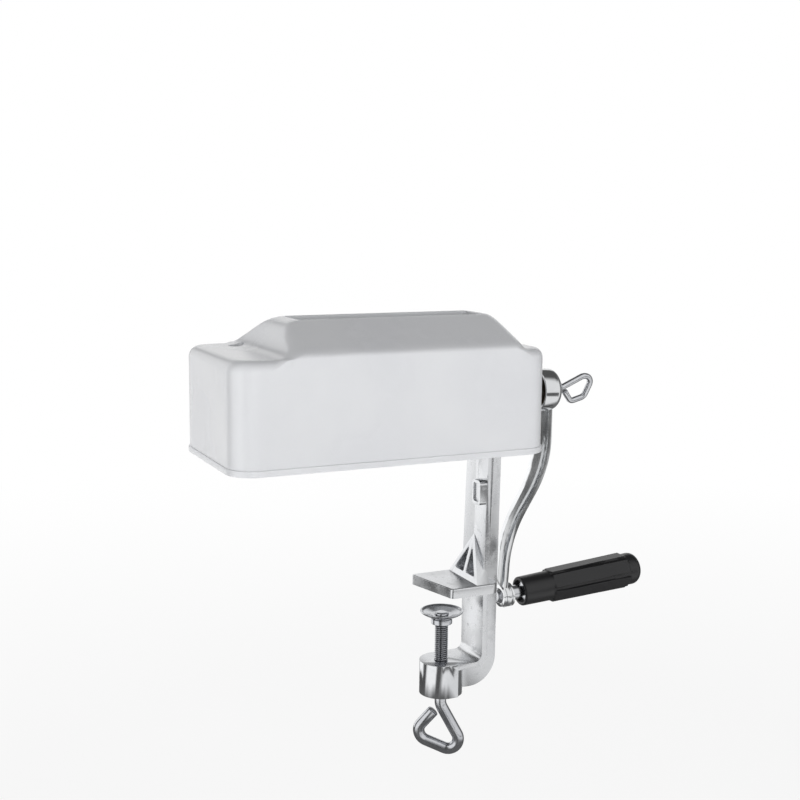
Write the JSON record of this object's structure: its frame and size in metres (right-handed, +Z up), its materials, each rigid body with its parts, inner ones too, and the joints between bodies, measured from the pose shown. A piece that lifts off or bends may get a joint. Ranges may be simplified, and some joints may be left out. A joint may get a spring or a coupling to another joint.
{
  "type": "hand crank meat tenderizer",
  "caption": "Table-clamped meat tenderizer: two geared rollers of toothed blades under a white humped cover, turned by an S-shaped crank with a black grip.",
  "frame": {"origin": "on the clamp screw's axis at the underside of the jaw plate, which rests on the table top", "axes": "+Z up, +X along the rollers towards the crank, -Y towards the front, where the meat is watched going in"},
  "size_m": [0.2922, 0.0936, 0.2664],
  "materials": {
    "cast_aluminium": "polished die casting",
    "polished_crank": "polished die casting",
    "bright_steel": "bright plated",
    "plated_screw": "bright plated",
    "stainless_blade": "ground stainless",
    "spacer_nylon": "moulded nylon",
    "sintered_bush": "sintered bronze",
    "gear_steel": "machined",
    "cover_white": "semi-gloss moulding",
    "grip_black": "satin moulding"
  },
  "bodies": {
    "frame": {"frame_casting": "cast_aluminium", "left_end_plate": "cast_aluminium", "upper_front_tie_rod": "bright_steel", "upper_rear_tie_rod": "bright_steel", "lower_front_tie_rod": "bright_steel", "lower_rear_tie_rod": "bright_steel", "tie_rod_nuts": "bright_steel", "drive_left_bush": "sintered_bush", "driven_left_bush": "sintered_bush", "neck_bush": "sintered_bush", "drive_head_bush": "sintered_bush", "driven_head_bush": "sintered_bush", "rear_comb": "stainless_blade", "front_comb": "stainless_blade", "cover": "cover_white", "cover_screw": "bright_steel"},
    "drive_roller": {"drive_shaft": "gear_steel", "drive_blades": "stainless_blade", "drive_spacers": "spacer_nylon", "drive_gear": "gear_steel", "drive_gear_washer": "bright_steel", "drive_gear_nut": "bright_steel", "crank_arm": "polished_crank", "grip_pin": "bright_steel"},
    "driven_roller": {"driven_shaft": "gear_steel", "driven_blades": "stainless_blade", "driven_spacers": "spacer_nylon", "driven_gear": "gear_steel", "driven_gear_washer": "bright_steel", "driven_gear_nut": "bright_steel"},
    "grip": {"grip": "grip_black", "grip_ferrule": "bright_steel"},
    "crank_washer": {"thumb_washer": "bright_steel"},
    "crank_screw": {"thumb_screw": "plated_screw"},
    "pad": {"clamp_pad": "plated_screw"},
    "clamp_screw": {"clamp_screw": "plated_screw", "clamp_collar": "bright_steel"}
  },
  "joints": [
    {"name": "drive_spin", "type": "hinge", "parent": "frame", "child": "drive_roller", "pos_m": [0, 0.014, 0.114], "axis": [1, 0, 0], "continuous": true},
    {"name": "driven_spin", "type": "hinge", "parent": "frame", "child": "driven_roller", "pos_m": [0, -0.014, 0.114], "axis": [1, 0, 0], "continuous": true},
    {"name": "grip_spin", "type": "hinge", "parent": "drive_roller", "child": "grip", "pos_m": [0.0542, 0.014, -0.0132], "axis": [0.9979, 0, 0.0645], "continuous": true},
    {"name": "crank_screw_out", "type": "slide", "parent": "drive_roller", "child": "crank_washer", "axis": [1, 0, 0], "range_m": [0, 0.012]},
    {"name": "crank_screw_turn", "type": "hinge", "parent": "crank_washer", "child": "crank_screw", "pos_m": [0, 0.014, 0.114], "axis": [1, 0, 0], "range_deg": [0, 4320]},
    {"name": "clamp_travel", "type": "slide", "parent": "frame", "child": "pad", "axis": [0, 0, 1], "range_m": [-0.022, 0.0045]},
    {"name": "clamp_turn", "type": "hinge", "parent": "pad", "child": "clamp_screw", "pos_m": [0, 0, 0], "axis": [0, 0, 1], "range_deg": [-6336, 1296]}
  ],
  "couplings": [
    {"joint": "driven_spin", "follows": "drive_spin", "ratio": -1},
    {"joint": "crank_screw_turn", "follows": "crank_screw_out", "rad_per_m": 6283.2},
    {"joint": "clamp_turn", "follows": "clamp_travel", "rad_per_m": 5026.5}
  ]
}
